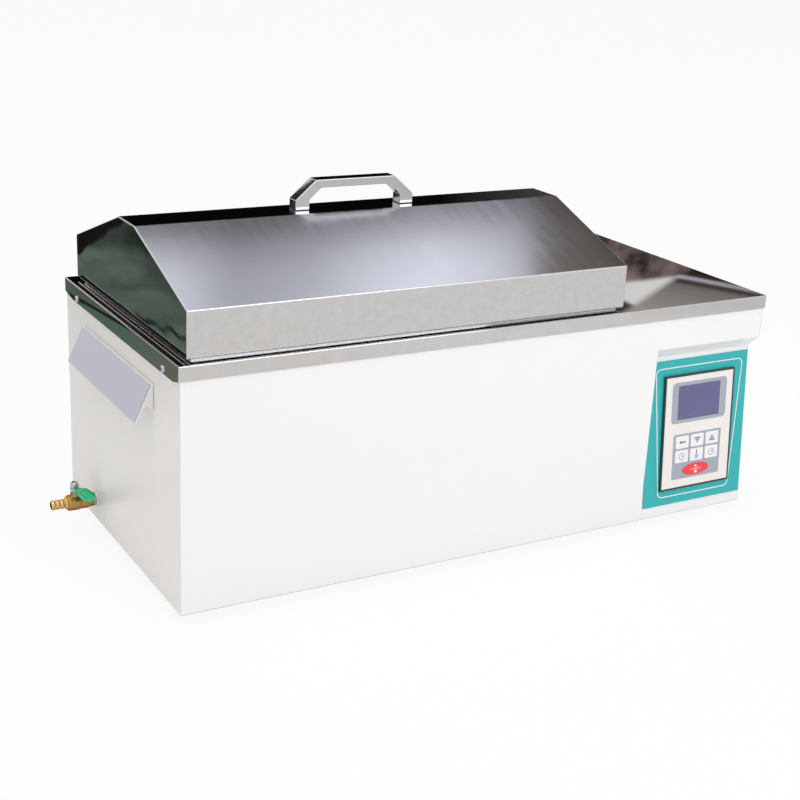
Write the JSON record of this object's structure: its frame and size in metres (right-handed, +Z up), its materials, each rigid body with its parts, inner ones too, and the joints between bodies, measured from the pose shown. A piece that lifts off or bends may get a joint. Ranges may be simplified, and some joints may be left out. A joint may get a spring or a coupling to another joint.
{
  "type": "shaking water bath",
  "caption": "Bench-top shaking water bath: white casing, steel deck, lift-off hipped lid with arch handle, drain cock, carrying handles and a tilted keypad panel.",
  "frame": {"origin": "on the bench top, below the middle of the overall box", "axes": "+X along the casing, from the drain cock towards the control panel; -Y towards the front; +Z up"},
  "size_m": [0.8336, 0.362, 0.4209],
  "materials": {
    "white_enamel": "satin white enamel",
    "steel": "bright brushed stainless steel",
    "chrome": "polished",
    "teal": "printed film, semi-gloss",
    "black_plastic": "moulded, fine texture",
    "cream_plastic": "printed film, matt",
    "white_key": "printed film, matt",
    "red_key": "semi-gloss",
    "display_glass": "smooth, over a dark panel",
    "grip_grey": "smooth, satin",
    "brass": "turned, satin",
    "green_dip": "dipped coating, glossy",
    "board_green": "solder mask",
    "glass_wool": "fibrous",
    "rubber": "matt",
    "motor_grey": "satin",
    "aluminium": "mill finish"
  },
  "bodies": {
    "base": {"casing": "white_enamel", "rear_panel": "white_enamel", "handle_grip_left": "white_enamel", "handle_grip_right": "white_enamel", "deck": "steel", "tank": "steel", "heater_cover": "steel", "heater_element": "steel", "temperature_probe": "steel", "drain_pipe": "steel", "packing_nut": "chrome", "guide_rail_front": "chrome", "guide_rail_rear": "chrome", "deck_screw_front_left": "chrome", "deck_screw_front_right": "chrome", "deck_screw_rear_left": "chrome", "deck_screw_rear_right": "chrome", "control_panel": "teal", "controller_bezel": "black_plastic", "power_inlet": "black_plastic", "power_switch_frame": "black_plastic", "controller_face": "cream_plastic", "display_window": "display_glass", "handle_face_left": "grip_grey", "handle_face_right": "grip_grey", "valve_body": "brass", "hose_barb": "brass", "heater_gland_front": "brass", "heater_gland_rear": "brass", "control_board": "board_green", "insulation_jacket": "glass_wool", "foot_front_left": "rubber", "foot_front_right": "rubber", "foot_rear_left": "rubber", "foot_rear_right": "rubber", "drive_motor": "motor_grey", "base_plate": "aluminium", "motor_bracket": "aluminium", "solid_state_relay": "aluminium"},
    "lid": {"lid_shell": "steel", "lid_handle": "chrome", "lid_handle_screw_left": "chrome", "lid_handle_screw_right": "chrome"},
    "valve_handle": {"valve_lever": "green_dip", "valve_stem": "steel", "valve_ball": "steel", "lever_nut": "steel"},
    "rocker": {"power_rocker": "red_key"},
    "shaker": {"shaker_carriage": "steel", "flask_tray": "steel", "drive_arm": "aluminium"},
    "crank": {"crank_disc": "steel"},
    "run_stop_key": {"key_run_stop": "red_key"},
    "left_key": {"key_left": "white_key"},
    "down_key": {"key_down": "white_key"},
    "up_key": {"key_up": "white_key"},
    "timer_key": {"key_timer": "white_key"},
    "temperature_key": {"key_temperature": "white_key"},
    "speed_key": {"key_speed": "white_key"}
  },
  "joints": [
    {"name": "lid_lift", "type": "slide", "parent": "base", "child": "lid", "axis": [0, 0, 1], "range_m": [0, 0.25]},
    {"name": "valve_turn", "type": "hinge", "parent": "base", "child": "valve_handle", "pos_m": [-0.3883, 0.087, 0.0385], "axis": [0, 0, -1], "range_deg": [0, 90]},
    {"name": "shaker_slide", "type": "slide", "parent": "base", "child": "shaker", "axis": [1, 0, 0], "range_m": [-0.01, 0.01]},
    {"name": "crank_spin", "type": "hinge", "parent": "base", "child": "crank", "pos_m": [0.26505, -0.0021, 0.2622], "axis": [0, 0, 1], "continuous": true},
    {"name": "rocker_tilt", "type": "hinge", "parent": "base", "child": "rocker", "pos_m": [0.2997, 0.1765, 0.13], "axis": [-1, 0, 0], "range_deg": [0, 18]},
    {"name": "left_press", "type": "slide", "parent": "base", "child": "left_key", "axis": [0, 0.9966, -0.0826], "range_m": [0, 0.0005], "stiffness_N_per_m": 400, "springref_m": -0.0003},
    {"name": "down_press", "type": "slide", "parent": "base", "child": "down_key", "axis": [0, 0.9966, -0.0826], "range_m": [0, 0.0005], "stiffness_N_per_m": 400, "springref_m": -0.0003},
    {"name": "up_press", "type": "slide", "parent": "base", "child": "up_key", "axis": [0, 0.9966, -0.0826], "range_m": [0, 0.0005], "stiffness_N_per_m": 400, "springref_m": -0.0003},
    {"name": "timer_press", "type": "slide", "parent": "base", "child": "timer_key", "axis": [0, 0.9966, -0.0826], "range_m": [0, 0.0005], "stiffness_N_per_m": 400, "springref_m": -0.0003},
    {"name": "temperature_press", "type": "slide", "parent": "base", "child": "temperature_key", "axis": [0, 0.9966, -0.0826], "range_m": [0, 0.0005], "stiffness_N_per_m": 400, "springref_m": -0.0003},
    {"name": "speed_press", "type": "slide", "parent": "base", "child": "speed_key", "axis": [0, 0.9966, -0.0826], "range_m": [0, 0.0005], "stiffness_N_per_m": 400, "springref_m": -0.0003},
    {"name": "run_stop_press", "type": "slide", "parent": "base", "child": "run_stop_key", "axis": [0, 0.9966, -0.0826], "range_m": [0, 0.0005], "stiffness_N_per_m": 400, "springref_m": -0.0003}
  ]
}
